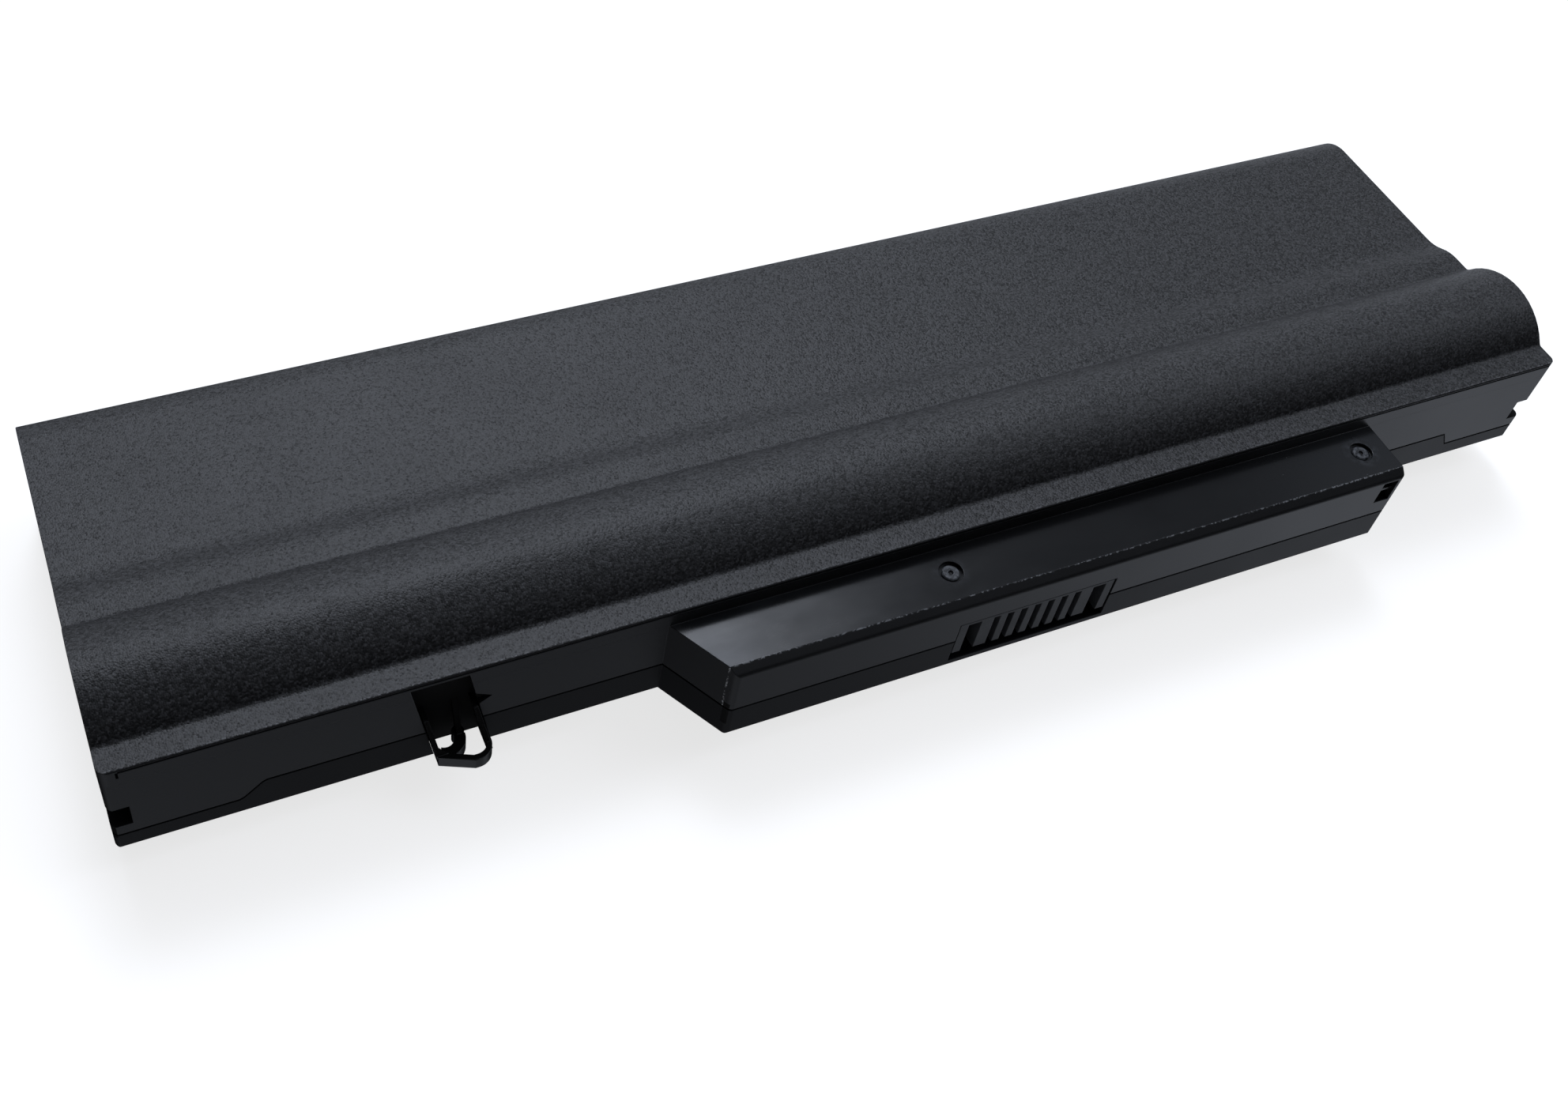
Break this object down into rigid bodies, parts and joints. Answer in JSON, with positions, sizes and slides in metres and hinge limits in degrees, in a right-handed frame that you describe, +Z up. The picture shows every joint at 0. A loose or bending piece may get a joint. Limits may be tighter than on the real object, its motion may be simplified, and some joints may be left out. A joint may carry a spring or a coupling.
{
  "type": "laptop battery",
  "caption": "Long laptop battery pack in a two-part moulded case: broad grained plate, round cell ridge, front tongue with a comb plug, latch eye and end guide grooves.",
  "frame": {"origin": "under the middle of the whole outline, on the surface that the pack lies on", "axes": "+X along the length towards the plug's end, +Y from the plug side to the back, +Z up, with the grained plate on top"},
  "size_m": [0.2126, 0.067, 0.0264],
  "materials": {
    "case_top": "fine grained black plastic, smooth on the front",
    "case_base": "smooth satin black plastic",
    "plug": "satin dark grey plastic",
    "contact": "plated contact metal",
    "cell": "shrink sleeve on a steel can",
    "washer": "insulating paper",
    "nickel": "nickel strip",
    "lead_black": "insulated lead",
    "lead_white": "insulated lead",
    "lead_red": "insulated lead",
    "board": "solder mask on glass laminate",
    "chip": "moulded component body",
    "fuse": "ceramic component body",
    "resistor": "ceramic component body",
    "capacitor": "ceramic component body",
    "foam": "soft foam"
  },
  "bodies": {
    "root": {"upper_shell": "case_top", "lower_shell": "case_base", "board": "board", "plug": "plug", "contacts": "contact", "gauge_chip": "chip", "switch_1": "chip", "switch_2": "chip", "fuse": "fuse", "sense_resistor": "resistor", "capacitors": "capacitor", "end_pad_left": "foam", "end_pad_right": "foam", "cell_1": "cell", "cell_2": "cell", "cell_3": "cell", "cell_4": "cell", "cell_5": "cell", "cell_6": "cell", "cell_7": "cell", "cell_8": "cell", "cell_9": "cell", "washers_1": "washer", "washers_2": "washer", "washers_3": "washer", "strip_1": "nickel", "strip_2": "nickel", "strip_3": "nickel", "strip_4": "nickel", "lead_1": "lead_black", "lead_2": "lead_white", "lead_3": "lead_white", "lead_4": "lead_red"}
  },
  "joints": []
}
